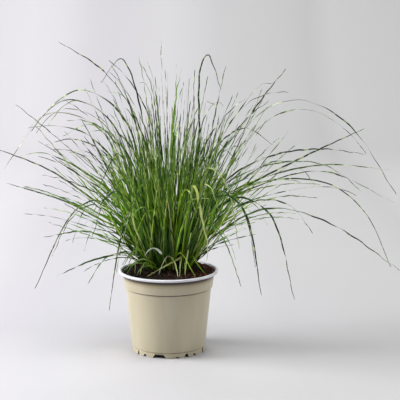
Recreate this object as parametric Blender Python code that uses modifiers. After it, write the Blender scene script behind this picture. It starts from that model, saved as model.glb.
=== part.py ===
# Potted ornamental grass clump: a 13 cm plastic grow pot, its soil, and the shoots of the grass.
# Metres, +Z up. The origin is the centre of the pot's foot, on the ground; -Y is the front, +X the right.

import math
import random

import bmesh
import bpy
from mathutils import Matrix, Vector, kdtree

MM = 0.001

# Driving dimensions of the pot
POT_HEIGHT = 107 * MM
LIP_RADIUS = 65 * MM
LIP_THICK = 4 * MM
LIP_DROP = 3 * MM
LIP_ROUND = 0.9 * MM
LIP_DRAFT = 0.4 * MM
UNDERCUT = 1.2 * MM
BAND_TOP_RADIUS = 60 * MM
STEP_HEIGHT = 85 * MM
STEP_RADIUS = 57.6 * MM
STEP_IN = 1.6 * MM
STEP_TOP = STEP_HEIGHT + 0.4 * MM
STEP_BOTTOM = STEP_HEIGHT - 0.6 * MM
INNER_STEP_TOP = STEP_HEIGHT + 0.6 * MM
INNER_STEP_BOTTOM = STEP_HEIGHT - 0.9 * MM
FOOT_HEIGHT = 7 * MM
FOOT_RADIUS = 48.2 * MM
FOOT_IN = 0.4 * MM
FOOT_WALL = 1.6 * MM
FOOT_DRAFT = 0.3 * MM
BASE_RISE = 3.2 * MM
BOSS_RADIUS = 12 * MM
WALL = 1.3 * MM
POT_SIDES = 48
NOTCH_TAPER = 0.6

# Drainage notches through the foot ring: heading in degrees, width on the ground and height in millimetres
NOTCHES = (
    (215, 4.5, 5), (230, 5.5, 3.3), (255, 18, 5.5), (283, 5, 1.8), (299, 6, 4.8), (314, 5, 3.1), (337, 6, 6),
    (0, 6, 4), (35, 18, 5.5), (60, 6, 4), (80, 6, 4.8), (100, 5, 1.8), (135, 18, 5.5), (165, 6, 4),
    (185, 6, 5),
)

# Driving dimensions of the soil
SOIL_EDGE = 105.2 * MM
SOIL_TOP = 110 * MM
SOIL_CURVE = 2.5
SOIL_RINGS = (0, 0.35, 0.6, 0.8, 1)
SOIL_STEP_TOP = STEP_HEIGHT + 1.2 * MM
SOIL_STEP_BOTTOM = STEP_HEIGHT - 0.6 * MM
SOIL_SIDES = 24
FIT_GAP = 0.3 * MM

# Driving dimensions of the grass
CROWN_RADIUS = 30 * MM
CROWN_SPACING = 6.4 * MM
CROWN_ROUNDS = 60
SHEATH_LENGTH = 9 * MM
SHEATH_THICK = 1.54 * MM
BLADE_WIDTH = 2.8 * MM
BLADE_ROOT_WIDTH = 1.8 * MM
BLADE_THICK = 1.1 * MM
TIP_WIDTH = 0.7 * MM
TIP_THICK_SHARE = 0.45
WIDEST_SHARE = 0.35
TIP_TAPER = 2.4
TIP_FULLNESS = 0.8
SEGMENTS = (8, 6, 6)
POST_CURVE = 1.2
ROOT_SLOPE = 0.4

# The two younger leaves of each shoot: how high they end, where they start, and how they spread
MIDDLE_TOPS = (200 * MM, 285 * MM)
MIDDLE_SHIFT = (1.2 * MM, 2.4 * MM)
MIDDLE_ASIDE = 1.3
MIDDLE_SPREAD = 1.125
SIDE_TOPS = (140 * MM, 250 * MM)
SIDE_ASIDE = (4.5 * MM, 8 * MM)
SIDE_OUTWARD = (-3 * MM, 6 * MM)
SIDE_SPREAD = 1.5
EDGE_SHORTER = 0.35
FAN_RISE = 100 * MM
FAN_CURVE = 0.85
YOUNG_KNOTS = (0.3, 0.65, 1)

# Room kept between leaves: a leaf that would touch is turned a little, up to so many times
SPARE = 0.4 * MM
TURN_STEP = 1.2
TRIES = 51
SIBLING_START = 11
PATH_SPACING = 2 * MM
SEED = 23

# The long leaf of each shoot: its heading in degrees, then its reach from the pot's axis and its height
# above the ground, in millimetres. Heading 0 is the right, 90 the back, 180 the left, 270 the front.
LONG_LEAVES = (
    # The left side, from the highest to the lowest
    (172, (24, 249), (46, 314), (84, 366), (140, 402)),
    (190, (26, 262), (44, 352), (60, 381), (86, 350)),
    (165, (46, 276), (76, 322), (122, 338), (172, 302), (228, 228)),
    (186, (70, 266), (92, 299), (116, 320), (138, 334)),
    (205, (66, 240), (108, 288), (150, 302), (188, 302)),
    (176, (62, 205), (98, 238), (150, 284), (196, 322)),
    (196, (60, 196), (104, 236), (160, 266), (196, 262)),
    (158, (56, 216), (92, 258), (136, 272), (178, 262)),
    (184, (52, 170), (92, 198), (152, 240), (224, 270)),
    (170, (46, 148), (90, 170), (140, 194), (216, 216)),
    (201, (56, 164), (96, 204), (132, 186), (180, 96)),
    (152, (60, 186), (104, 204), (132, 168), (146, 128)),
    (216, (50, 190), (84, 218), (108, 196), (128, 146)),
    (190, (44, 134), (78, 152), (112, 162), (162, 155)),
    (178, (46, 122), (70, 125), (104, 117), (148, 96)),
    (209, (46, 131), (64, 137), (92, 132), (116, 100)),
    (237, (54, 226), (82, 206), (110, 160), (134, 80)),
    (168, (40, 288), (50, 322), (60, 348), (74, 372)),
    # The right side, from the highest to the lowest
    (24, (43, 262), (44, 345), (48, 374), (57, 384), (64, 372), (76, 338)),
    (342, (62, 262), (98, 322), (122, 350), (138, 352)),
    (12, (70, 252), (104, 298), (134, 338), (158, 366)),
    (8, (84, 262), (128, 314), (182, 324), (246, 286), (308, 196)),
    (350, (50, 170), (92, 212), (170, 256), (250, 296)),
    (18, (76, 214), (140, 248), (212, 256), (282, 246)),
    (355, (66, 196), (120, 228), (200, 246), (286, 240)),
    (5, (58, 180), (120, 216), (206, 232), (302, 188)),
    (336, (60, 190), (128, 230), (212, 234), (262, 200), (296, 134)),
    (358, (50, 144), (128, 188), (210, 168), (302, 106)),
    (14, (56, 152), (110, 184), (160, 196), (206, 192)),
    (344, (52, 174), (98, 208), (142, 184), (172, 80)),
    (322, (50, 180), (92, 214), (124, 190), (146, 92)),
    (30, (48, 172), (84, 202), (118, 172), (136, 92)),
    (312, (44, 150), (72, 176), (102, 162), (134, 106)),
    (2, (50, 131), (76, 143), (116, 153)),
    (28, (64, 186), (112, 216), (164, 238), (206, 224), (228, 200)),
    (352, (66, 176), (118, 200), (158, 194), (188, 158)),
    (346, (52, 236), (84, 284), (108, 312), (132, 330)),
    # The middle, the back and the front, from the highest to the lowest
    (100, (14, 240), (26, 318), (38, 364), (60, 404)),
    (112, (20, 240), (36, 308), (54, 348), (78, 372)),
    (250, (18, 240), (30, 300), (44, 336), (66, 362)),
    (70, (16, 232), (28, 300), (40, 342), (56, 366)),
    (286, (14, 230), (26, 290), (42, 330), (70, 356)),
    (60, (40, 244), (66, 296), (92, 318), (124, 312)),
    (128, (36, 240), (64, 296), (98, 326), (140, 330)),
    (142, (44, 216), (86, 270), (134, 288), (186, 268)),
    (44, (46, 208), (96, 262), (148, 280), (202, 252)),
    (84, (40, 206), (80, 262), (126, 282), (176, 262)),
    (106, (48, 188), (92, 228), (142, 236), (190, 200)),
    (58, (50, 172), (98, 208), (146, 202), (186, 150)),
    (132, (48, 164), (94, 196), (140, 186), (176, 140)),
    (232, (42, 224), (78, 278), (112, 300), (150, 300)),
    (302, (40, 220), (76, 270), (112, 286), (150, 270)),
    (264, (38, 206), (72, 256), (108, 270), (148, 246)),
    (284, (46, 186), (82, 222), (116, 226), (150, 196)),
    (248, (44, 170), (76, 200), (108, 202), (136, 178)),
    (318, (42, 232), (70, 286), (98, 318), (126, 338)),
)


def clear_scene():
    for old in list(bpy.data.objects):
        bpy.data.objects.remove(old)


def material(name, colour, roughness):
    made = bpy.data.materials.new(name)
    made.use_nodes = True
    shader = made.node_tree.nodes["Principled BSDF"]
    shader.inputs["Base Color"].default_value = (*colour, 1)
    shader.inputs["Roughness"].default_value = roughness
    shader.inputs["Metallic"].default_value = 0
    return made


def turned(name, profile, sides, look, home):
    # A profile down the outer side and back up the inner one, turned round the Z axis
    mesh = bpy.data.meshes.new(name)
    points = [(radius, 0, height) for radius, height in profile]
    mesh.from_pydata(points, [(i, i + 1) for i in range(len(points) - 1)], [])
    made = bpy.data.objects.new(name, mesh)
    home.objects.link(made)
    screw = made.modifiers.new("Turned", "SCREW")
    screw.steps = sides
    screw.render_steps = sides
    screw.use_merge_vertices = True
    screw.merge_threshold = 0.0001
    mesh.materials.append(look)
    return made


def baked(made):
    # Its modifiers made real, so that what is cut or shaded next is a plain mesh
    graph = bpy.context.evaluated_depsgraph_get()
    mesh = bpy.data.meshes.new_from_object(made.evaluated_get(graph))
    made.modifiers.clear()
    made.data = mesh
    return made


def smooth(made, angle):
    made.data.shade_smooth()
    made.data.set_sharp_from_angle(angle=math.radians(angle))


def band_inside(height):
    # The inner wall above the step, which runs beside the outer one
    share = (height - STEP_HEIGHT) / (POT_HEIGHT - STEP_HEIGHT)
    return STEP_RADIUS - WALL + share * (BAND_TOP_RADIUS - STEP_RADIUS)


def lip_inside(height):
    # The inner wall above the band, where it widens into the lip
    low = POT_HEIGHT - LIP_DROP - UNDERCUT
    share = (height - low) / (POT_HEIGHT - LIP_ROUND - low)
    band = band_inside(POT_HEIGHT - LIP_DROP)
    return band + share * (LIP_RADIUS - LIP_THICK - band)


def body_inside(height):
    # The inner wall below the step
    share = (height - FOOT_HEIGHT) / (STEP_HEIGHT - FOOT_HEIGHT)
    return FOOT_RADIUS - WALL + share * (STEP_RADIUS - STEP_IN - FOOT_RADIUS)


def pot_profile():
    lip_bottom = POT_HEIGHT - LIP_DROP
    floor = BASE_RISE + WALL
    inner_lip = LIP_RADIUS - LIP_THICK
    outer = [
        (inner_lip + LIP_ROUND, POT_HEIGHT),
        (LIP_RADIUS - LIP_ROUND, POT_HEIGHT),
        (LIP_RADIUS, POT_HEIGHT - LIP_ROUND),
        (LIP_RADIUS - LIP_DRAFT, lip_bottom),
        (BAND_TOP_RADIUS + UNDERCUT, lip_bottom),
        (BAND_TOP_RADIUS, lip_bottom - UNDERCUT),
        (STEP_RADIUS, STEP_TOP),
        (STEP_RADIUS - STEP_IN, STEP_BOTTOM),
        (FOOT_RADIUS, FOOT_HEIGHT),
        (FOOT_RADIUS - FOOT_IN, FOOT_HEIGHT - FOOT_IN),
        (FOOT_RADIUS - FOOT_IN, 0),
    ]
    inner = [
        (FOOT_RADIUS - FOOT_IN - FOOT_WALL, 0),
        (FOOT_RADIUS - FOOT_IN - FOOT_WALL - FOOT_DRAFT, BASE_RISE),
        (BOSS_RADIUS + FOOT_DRAFT, BASE_RISE),
        (BOSS_RADIUS, 0),
        (0, 0),
        (0, floor),
        (body_inside(floor), floor),
        (body_inside(STEP_HEIGHT), INNER_STEP_BOTTOM),
        (band_inside(STEP_HEIGHT), INNER_STEP_TOP),
        (lip_inside(lip_bottom - UNDERCUT), lip_bottom - UNDERCUT),
        (inner_lip, POT_HEIGHT - LIP_ROUND),
    ]
    return outer + inner + outer[:1]


def notch_cutter(heading, width, height, home):
    # A block with a narrower top, set across the foot ring
    mesh = bpy.data.meshes.new("notch")
    shape = bmesh.new()
    bmesh.ops.create_cube(shape, size=1)
    deep = 4 * FOOT_WALL
    bmesh.ops.scale(shape, verts=shape.verts, vec=(deep, width * MM, 2 * height * MM))
    for vert in shape.verts:
        vert.co.y *= NOTCH_TAPER if vert.co.z > 0 else 2 - NOTCH_TAPER
    turn = Matrix.Rotation(math.radians(heading), 4, "Z")
    place = turn @ Matrix.Translation((FOOT_RADIUS - FOOT_WALL / 2, 0, 0))
    bmesh.ops.transform(shape, matrix=place, verts=shape.verts)
    shape.to_mesh(mesh)
    shape.free()
    cutter = bpy.data.objects.new("notch", mesh)
    cutter.hide_render = True
    cutter.display_type = "WIRE"
    home.objects.link(cutter)
    return cutter


def make_pot(look, home, cutters):
    pot = baked(turned("pot", pot_profile(), POT_SIDES, look, home))
    for heading, width, height in NOTCHES:
        cut = pot.modifiers.new("Notch", "BOOLEAN")
        cut.object = notch_cutter(heading, width, height, cutters)
        cut.operation = "DIFFERENCE"
        cut.solver = "EXACT"
    smooth(pot, 30)
    return pot


def soil_height(radius):
    # A mound, low at the wall and raised under the crown
    edge = lip_inside(SOIL_EDGE) - FIT_GAP
    return SOIL_TOP - (SOIL_TOP - SOIL_EDGE) * min(1, radius / edge) ** SOIL_CURVE


def make_soil(look, home):
    floor = BASE_RISE + WALL + FIT_GAP
    band_top = POT_HEIGHT - LIP_DROP
    edge = lip_inside(SOIL_EDGE) - FIT_GAP
    profile = [(edge * share, soil_height(edge * share)) for share in SOIL_RINGS]
    profile += [
        (band_inside(band_top) - FIT_GAP, band_top - UNDERCUT),
        (band_inside(STEP_HEIGHT) - FIT_GAP, SOIL_STEP_TOP),
        (body_inside(STEP_HEIGHT) - FIT_GAP, SOIL_STEP_BOTTOM),
        (body_inside(floor) - FIT_GAP, floor),
        (0, floor),
    ]
    soil = baked(turned("soil", profile, SOIL_SIDES, look, home))
    smooth(soil, 40)
    return soil


def heading_of(degrees):
    return Vector((math.cos(math.radians(degrees)), math.sin(math.radians(degrees)), 0))


def lean_of(route):
    # How far the start of a leaf leans out, from 0 for upright
    reach, height = route[0]
    return math.atan2(reach * MM, height * MM - SOIL_TOP)


def place_shoots():
    # The flattest leaves start at the crown's edge, on their own side, so that paths don't cross
    count = len(LONG_LEAVES)
    order = sorted(range(count), key=lambda i: lean_of(LONG_LEAVES[i][1:]))
    spots = [None] * count
    for rank, i in enumerate(order):
        spots[i] = heading_of(LONG_LEAVES[i][0]) * CROWN_RADIUS * math.sqrt((rank + 0.5) / count)
    for _ in range(CROWN_ROUNDS):
        push_apart(spots)
    return order[::-1], spots


def push_apart(spots):
    # Shoots that stand too close move each other away, and none leaves the crown
    for i, first in enumerate(spots):
        for second in spots[i + 1:]:
            between = second - first
            gap = CROWN_SPACING - between.length
            if gap > 0:
                shift = between.normalized() * gap / 2
                first -= shift
                second += shift
    for spot in spots:
        spot *= min(1, CROWN_RADIUS / max(spot.length, MM))


def long_knots(spot, azimuth, route):
    # The points of a long leaf's route, on its own heading from the pot's axis
    out = heading_of(azimuth)
    side = spot - out * spot.dot(out)
    knots = []
    for step, (reach, height) in enumerate(route):
        stray = side * (1 - (step + 1) / len(route))
        knots.append(out * reach * MM + stray + Vector((0, 0, height * MM)))
    return knots


def young_knots(spot, shift, turn, top, fan):
    # A younger leaf: it rises from its place and spreads from the axis as the whole clump does
    seat = spot + shift
    knots = []
    for share in YOUNG_KNOTS:
        rise = top * share
        spread = 1 + fan * (rise / FAN_RISE) ** FAN_CURVE
        swing = Matrix.Rotation(math.radians(turn * share), 3, "Z")
        knots.append(swing @ (seat * spread) + Vector((0, 0, SOIL_TOP + rise)))
    return knots


def leaf_path(base, knots):
    # A smooth curve from the shoot's place through the knots, as points a few mm apart
    knots = [base, *knots, 2 * knots[-1] - knots[-2]]
    rise = knots[1] - knots[0]
    knots.insert(0, knots[0] - Vector((rise.x * ROOT_SLOPE, rise.y * ROOT_SLOPE, rise.z)))
    path = [knots[1]]
    for before, start, end, after in zip(knots, knots[1:], knots[2:], knots[3:]):
        count = max(2, round((end - start).length / PATH_SPACING))
        for k in range(1, count + 1):
            path.append(spline_point(before, start, end, after, k / count))
    return path


def leaf_posts(base, knots, segments):
    # The points where the leaf bends, closer together near the sheath, with their share of its length
    path = leaf_path(base, knots)
    last = len(path) - 1
    start = SHEATH_LENGTH / (PATH_SPACING * last)
    posts = [(0, base)]
    for step in range(1, segments + 1):
        share = start + (1 - start) * (step / segments) ** POST_CURVE
        posts.append((share, path[round(share * last)]))
    return posts


def leaf_points(posts):
    # Points a few mm apart along the straight stretches between the posts, with the leaf's width there
    points = []
    for (share, start), (next_share, end) in zip(posts, posts[1:]):
        count = max(1, round((end - start).length / PATH_SPACING))
        for k in range(count):
            width = leaf_width(share + (next_share - share) * k / count)
            points.append((start.lerp(end, k / count), width))
    return points


def spline_point(before, start, end, after, share):
    # A Catmull-Rom spline whose tangents are scaled to the length of this stretch
    length = (end - start).length
    leave = (end - before) * length / ((start - before).length + length)
    reach = (after - start) * length / ((after - end).length + length)
    a = 2 * share**3 - 3 * share**2 + 1
    b = share**3 - 2 * share**2 + share
    c = share**3 - share**2
    return a * start + b * leave + (1 - a) * end + c * reach


def leaf_width(share):
    # Narrow where it leaves the sheath, widest a third of the way along, then down to the tip
    widening = BLADE_ROOT_WIDTH + (BLADE_WIDTH - BLADE_ROOT_WIDTH) * min(1, share / WIDEST_SHARE)
    return widening * (1 - share**TIP_TAPER) ** TIP_FULLNESS


def room_for(points, tree, widths, start=0):
    # The least clear distance from this leaf to those already placed, and to the pot's lip
    least = 1.0
    for point, width in points[start:]:
        _, index, distance = tree.find(point)
        if index is not None:
            least = min(least, distance - 0.5 * (width + widths[index]) - SPARE)
        if point.z < POT_HEIGHT + BLADE_WIDTH:
            off_lip = abs(point.xy.length - LIP_RADIUS + LIP_THICK / 2) - LIP_THICK / 2
            least = min(least, off_lip - BLADE_WIDTH)
    return least


def tree_of(points):
    tree = kdtree.KDTree(len(points))
    for index, (point, _) in enumerate(points):
        tree.insert(point, index)
    tree.balance()
    return tree, [width for _, width in points]


def fitted(base, choices, segments, others, own):
    # The first choice of leaf that clears the leaves placed before it, or else the roomiest one
    best = None
    for knots in choices:
        posts = leaf_posts(base, knots, segments)
        points = leaf_points(posts)
        room = min(room_for(points, *others), room_for(points, *own, start=SIBLING_START))
        if best is None or room > best[0]:
            best = (room, posts)
        if room > 0:
            break
    return best


def long_side(spot, azimuth):
    # The side of the sheath that the long leaf grows from, so that the younger ones don't cross it
    return 1 if spot.dot(heading_of(azimuth + 90)) < 0 else -1


def leaf_choices(kind, spot, away, azimuth, route, draw):
    # One leaf in the ways it may stand, from the one it should have to those turned further away
    out = heading_of(azimuth)
    across = heading_of(azimuth + 90) * away
    ripe = 1 - EDGE_SHORTER * spot.length / CROWN_RADIUS
    for k in range(TRIES):
        turn = TURN_STEP * ((k + 1) // 2) * (-1) ** k
        if kind == "long":
            yield long_knots(spot, azimuth + turn, route)
        elif kind == "middle":
            shift = (across * -MIDDLE_ASIDE - out) * draw.uniform(*MIDDLE_SHIFT)
            yield young_knots(spot, shift, turn, ripe * draw.uniform(*MIDDLE_TOPS), MIDDLE_SPREAD)
        else:
            shift = across * -draw.uniform(*SIDE_ASIDE) + out * draw.uniform(*SIDE_OUTWARD)
            yield young_knots(spot, shift, turn, ripe * draw.uniform(*SIDE_TOPS), SIDE_SPREAD)


def grow_shoots():
    # All the long leaves first, then the younger ones between them
    draw = random.Random(SEED)
    order, spots = place_shoots()
    shoots = [[] for _ in order]
    for kind, segments in zip(("long", "middle", "side"), SEGMENTS):
        for i in order:
            azimuth, *route = LONG_LEAVES[i]
            base = spots[i] + Vector((0, 0, soil_height(spots[i].length) + FIT_GAP))
            own = [point for _, posts in shoots[i] for point in leaf_points(posts)]
            rest = [shoots[j] for j in order if j != i]
            others = [point for shoot in rest for _, posts in shoot for point in leaf_points(posts)]
            choices = leaf_choices(kind, spots[i], long_side(spots[i], azimuth), azimuth, route, draw)
            shoots[i].append(fitted(base, choices, segments, tree_of(others), tree_of(own)))
    return [(LONG_LEAVES[i][0], long_side(spots[i], LONG_LEAVES[i][0]), shoots[i]) for i in order]


def leaf_section(posts, k, side, ridge):
    # Three corners round a post: two edges and the ridge or keel between them
    share, middle = posts[k]
    after = posts[min(k + 1, len(posts) - 1)][1]
    along = (after - posts[k - 1][1]).normalized()
    up = side.cross(along).normalized()
    across = along.cross(up)
    width = max(leaf_width(share), TIP_WIDTH)
    thick = BLADE_THICK * (TIP_THICK_SHARE + (1 - TIP_THICK_SHARE) * width / BLADE_WIDTH)
    return [
        middle + across * width / 2 - up * thick / 3 * ridge,
        middle - across * width / 2 - up * thick / 3 * ridge,
        middle + up * 2 * thick / 3 * ridge,
    ]


def draw_out(shape, face, posts, side, ridge):
    # One leaf, drawn out of its face on the sheath from post to post and closed to a point
    for k in range(1, len(posts)):
        face = bmesh.ops.extrude_discrete_faces(shape, faces=[face])["faces"][0]
        verts = list(face.verts)
        match_corners(verts, leaf_section(posts, k, side, ridge))
    bmesh.ops.pointmerge(shape, verts=verts, merge_co=posts[-1][1])


def match_corners(verts, corners):
    # Keeps the order of the corners round the face, starting where the leaf twists least
    turns = [[corners[(k + j) % 3] for k in range(3)] for j in range(3)]
    flipped = [list(reversed(turn)) for turn in turns]
    middle = sum((vert.co for vert in verts), Vector()) / 3
    aim = sum(corners, Vector()) / 3
    normal = (verts[1].co - verts[0].co).cross(verts[2].co - verts[0].co)
    best = None
    for turn in turns + flipped:
        facing = (turn[1] - turn[0]).cross(turn[2] - turn[0])
        if facing.dot(normal) <= 0:
            continue
        strain = sum(((vert.co - middle) - (corner - aim)).length for vert, corner in zip(verts, turn))
        if best is None or strain < best[0]:
            best = (strain, turn)
    for vert, corner in zip(verts, best[1]):
        vert.co = corner


def make_shoot(name, shoot, look, home):
    # A flat sheath of three wedges side by side, each drawn out into a leaf
    azimuth, away, leaves = shoot
    stems = [posts for _, posts in leaves]
    base = stems[0][0][1]
    out = heading_of(azimuth)
    across = heading_of(azimuth + 90) * away
    wide = BLADE_ROOT_WIDTH
    starts = [(posts[1][1] - base).normalized() for posts in stems]
    rise = sum(starts, Vector()).normalized() * SHEATH_LENGTH
    outer = [base + out * SHEATH_THICK / 2 + across * wide * k for k in (1, 0, -1)]
    inner = [base - out * SHEATH_THICK / 2 + across * wide * k / 2 for k in (1, -1)]
    shape = bmesh.new()
    verts = [shape.verts.new(point) for point in outer + inner]
    wedges = [(0, 1, 3), (3, 1, 4), (1, 2, 4)]
    flat = [shape.faces.new([verts[k] for k in wedge]) for wedge in wedges]
    bmesh.ops.recalc_face_normals(shape, faces=flat)
    lifted = bmesh.ops.extrude_face_region(shape, geom=flat, use_keep_orig=True)["geom"]
    tops = [part for part in lifted if isinstance(part, bmesh.types.BMFace)]
    corners = [part for part in lifted if isinstance(part, bmesh.types.BMVert)]
    bmesh.ops.translate(shape, verts=corners, vec=rise)
    bmesh.ops.recalc_face_normals(shape, faces=shape.faces)
    tops.sort(key=lambda face: -face.calc_center_median().dot(across))
    for face, posts, ridge in zip(tops, stems, (-1, 1, -1)):
        draw_out(shape, face, posts, heading_of(azimuth + 90), ridge)
    bmesh.ops.recalc_face_normals(shape, faces=shape.faces)
    if shape.calc_volume(signed=True) < 0:
        bmesh.ops.reverse_faces(shape, faces=shape.faces)
    mesh = bpy.data.meshes.new(name)
    shape.to_mesh(mesh)
    shape.free()
    mesh.materials.append(look)
    made = bpy.data.objects.new(name, mesh)
    home.objects.link(made)
    smooth(made, 50)
    return made


def main():
    clear_scene()
    home = bpy.data.collections.new("potted_grass_clump")
    cutters = bpy.data.collections.new("cutters")
    bpy.context.scene.collection.children.link(home)
    bpy.context.scene.collection.children.link(cutters)
    plastic = material("moulded beige plastic", (0.60, 0.55, 0.44), 0.45)
    earth = material("potting soil", (0.035, 0.024, 0.016), 0.95)
    greens = [
        material("grass, deep green", (0.035, 0.10, 0.018), 0.5),
        material("grass, mid green", (0.07, 0.17, 0.025), 0.5),
        material("grass, yellow green", (0.17, 0.26, 0.035), 0.5),
    ]
    make_pot(plastic, home, cutters)
    make_soil(earth, home)
    for number, shoot in enumerate(grow_shoots()):
        make_shoot(f"tuft_{number + 1:02d}", shoot, greens[number % 3], home)


main()
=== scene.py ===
# Potted ornamental grass clump: the looks of its grow pot, its soil and its leaves.
# Metres, +Z up. The pot's axis is the Z axis, -Y is the front and +X the right.

import random
from math import atan2, cos, pi, radians, sin, sqrt

import bpy
import numpy as np
from mathutils import Matrix, Vector, kdtree, noise


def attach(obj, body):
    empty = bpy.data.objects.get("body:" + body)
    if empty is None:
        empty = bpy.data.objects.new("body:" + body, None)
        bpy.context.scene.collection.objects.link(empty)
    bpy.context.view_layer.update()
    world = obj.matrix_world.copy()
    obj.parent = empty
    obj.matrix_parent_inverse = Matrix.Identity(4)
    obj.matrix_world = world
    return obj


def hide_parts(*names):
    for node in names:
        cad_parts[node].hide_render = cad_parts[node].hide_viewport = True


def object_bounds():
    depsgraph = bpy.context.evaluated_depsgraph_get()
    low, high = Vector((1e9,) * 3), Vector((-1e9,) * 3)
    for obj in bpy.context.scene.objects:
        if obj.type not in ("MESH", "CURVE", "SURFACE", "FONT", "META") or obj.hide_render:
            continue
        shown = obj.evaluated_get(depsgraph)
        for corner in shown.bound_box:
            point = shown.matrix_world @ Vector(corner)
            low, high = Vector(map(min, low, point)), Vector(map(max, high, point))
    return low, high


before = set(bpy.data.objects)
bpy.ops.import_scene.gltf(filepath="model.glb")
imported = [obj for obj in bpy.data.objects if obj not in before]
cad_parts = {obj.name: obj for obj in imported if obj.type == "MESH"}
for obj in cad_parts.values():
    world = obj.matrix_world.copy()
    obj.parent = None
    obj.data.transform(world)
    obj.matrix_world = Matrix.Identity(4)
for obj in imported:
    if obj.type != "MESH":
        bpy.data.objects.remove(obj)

cadLow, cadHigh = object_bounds()
mm = 0.001
# About one turn, in radians
fullTurn = 6.3


# Selecting, adding nodes and reading colours

def setMode(mode):
    bpy.ops.object.mode_set(mode=mode)


def deselectAll():
    if bpy.context.mode != "OBJECT":
        setMode("OBJECT")
    bpy.ops.object.select_all(action="DESELECT")


def selectOnly(*pieces):
    # These alone are selected, and the first is active
    deselectAll()
    for piece in pieces:
        piece.select_set(True)
    bpy.context.view_layer.objects.active = pieces[0]


def addObject(name, data):
    made = bpy.data.objects.new(name, data)
    bpy.context.scene.collection.objects.link(made)
    return made


def hexColour(code):
    # sRGB hex turned to the linear values that shaders use
    parts = [int(code[i:i + 2], 16) / 255 for i in (0, 2, 4)]
    return tuple(p / 12.92 if p <= 0.04045 else ((p + 0.055) / 1.055) ** 2.4 for p in parts) + (1,)


def setSockets(tree, node, sockets):
    # Each socket is set to a value, or fed by another node
    for name, value in sockets.items():
        if isinstance(value, bpy.types.NodeSocket):
            tree.links.new(value, node.inputs[name])
        else:
            node.inputs[name].default_value = value


def addNode(tree, kind, sockets=None, stops=(), **settings):
    # One node with its settings, sockets and a ramp's (place, hex) stops, and what it gives out
    node = tree.nodes.new("ShaderNode" + kind)
    for name, value in settings.items():
        setattr(node, name, value)
    setSockets(tree, node, sockets or {})
    band = node.color_ramp.elements if stops else ()
    while len(band) < len(stops):
        band.new(0.5)
    for element, (place, code) in zip(band, stops):
        element.position = place
        element.color = hexColour(code)
    return node.outputs


def newMaterial(name, sockets):
    made = bpy.data.materials.new(name)
    made.use_nodes = True
    shader = made.node_tree.nodes["Principled BSDF"]
    setSockets(made.node_tree, shader, sockets)
    return made, made.node_tree, shader


def smoothByAngle(piece, degrees):
    selectOnly(piece)
    bpy.ops.object.shade_smooth_by_angle(angle=radians(degrees))


def drawRings(name, sides, rings):
    # A circle drawn out ring by ring along a profile in mm, then closed at both ends
    deselectAll()
    radius, height = rings[0]
    bpy.ops.mesh.primitive_circle_add(vertices=sides, radius=radius * mm, location=(0, 0, height * mm))
    piece = bpy.context.object
    piece.name = name
    piece.data.name = name
    bpy.ops.object.transform_apply(location=True, rotation=True, scale=True)
    setMode("EDIT")
    bpy.ops.mesh.select_all(action="SELECT")
    for nextRadius, nextHeight in rings[1:]:
        rise = (nextHeight - height) * mm
        bpy.ops.mesh.extrude_region_move(TRANSFORM_OT_translate={"value": (0, 0, rise)})
        scale = nextRadius / radius
        bpy.ops.transform.resize(value=(scale, scale, 1))
        radius, height = nextRadius, nextHeight
    bpy.ops.mesh.select_all(action="DESELECT")
    bpy.ops.mesh.select_mode(type="EDGE")
    bpy.ops.mesh.select_non_manifold()
    bpy.ops.mesh.fill_holes(sides=0)
    bpy.ops.mesh.select_all(action="SELECT")
    bpy.ops.mesh.normals_make_consistent(inside=False)
    setMode("OBJECT")
    return piece


# The pot, in mm: its profile runs from the boss under it, up the wall, over the lip and down inside

pot = {
    "sides": 192,
    "rings": [
        (6, 0), (11.7, 0), (12, 0.3), (12.3, 3.2), (45.7, 3.2), (45.9, 3), (46.2, 0.3), (46.5, 0),
        (47.4, 0), (47.8, 0.4), (47.85, 6.3), (47.65, 6.55), (47.65, 6.8), (48.2, 7.1), (48.4, 8.6),
        (55.9, 83.7), (55.3, 83.9), (54.9, 84.3), (55, 84.7), (57.3, 84.9), (57.6, 85.1), (57.7, 85.5),
        (59.85, 101.6), (60.1, 102.6), (60.3, 103.5), (60.9, 103.9), (64, 103.6), (64.5, 103.75),
        (64.85, 104.3), (65, 105.1), (64.95, 105.8), (64.7, 106.4), (64.2, 106.8), (63.5, 107), (62.4, 107),
        (61.7, 106.8), (61.2, 106.3), (61, 105.6), (60.2, 104), (58.5, 102.9), (58.3, 102.2), (56.5, 86),
        (56.3, 85.5), (54.8, 84.3), (54.6, 83.6), (47, 5.3), (46.3, 4.6), (45.4, 4.5), (6, 4.5),
    ],
    # Drainage notches through the foot: heading in degrees, width and height
    "notches": [
        (215, 4.5, 5), (230, 5.5, 3.3), (255, 18, 5.5), (283, 5, 1.8), (299, 6, 4.8), (314, 5, 3.1),
        (337, 6, 6), (0, 6, 4), (35, 18, 5.5), (60, 6, 4), (80, 6, 4.8), (100, 5, 1.8), (135, 18, 5.5),
        (165, 6, 4), (185, 6, 5),
    ],
    "notchRadius": 47.4,
    "notchDepth": 6.4,
    "notchTaper": 0.6,
    # The white shot begins above this on the lip, and above the floor inside
    "whiteAbove": 103.7,
    "floorAbove": 4,
    "beige": [(0.3, "BAB296"), (0.5, "C0B79D"), (0.7, "C5BDA4")],
    "white": [(0.35, "D0D0D6"), (0.6, "DCDCE2")],
    "flowSize": 50 / 3,
    "scuffSize": 100 / 9,
    "grainSize": 0.8,
    # Painted shade in the creases and under the lip: height, and how it darkens the wall there
    "paintedCreaseShade": [
        (6.2, "FFFFFF"), (6.6, "BEB39E"), (7.1, "BEB39E"), (7.5, "FFFFFF"),
        (83.4, "FFFFFF"), (83.9, "845A28"), (84.9, "845A28"), (85.3, "FFFFFF"),
        (93, "FFFFFF"), (96, "F0ECE6"), (98, "D0C8BC"), (99.3, "928878"), (100.3, "6A6052"),
        (101.5, "2E271F"), (107, "2E271F"),
    ],
}


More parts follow.
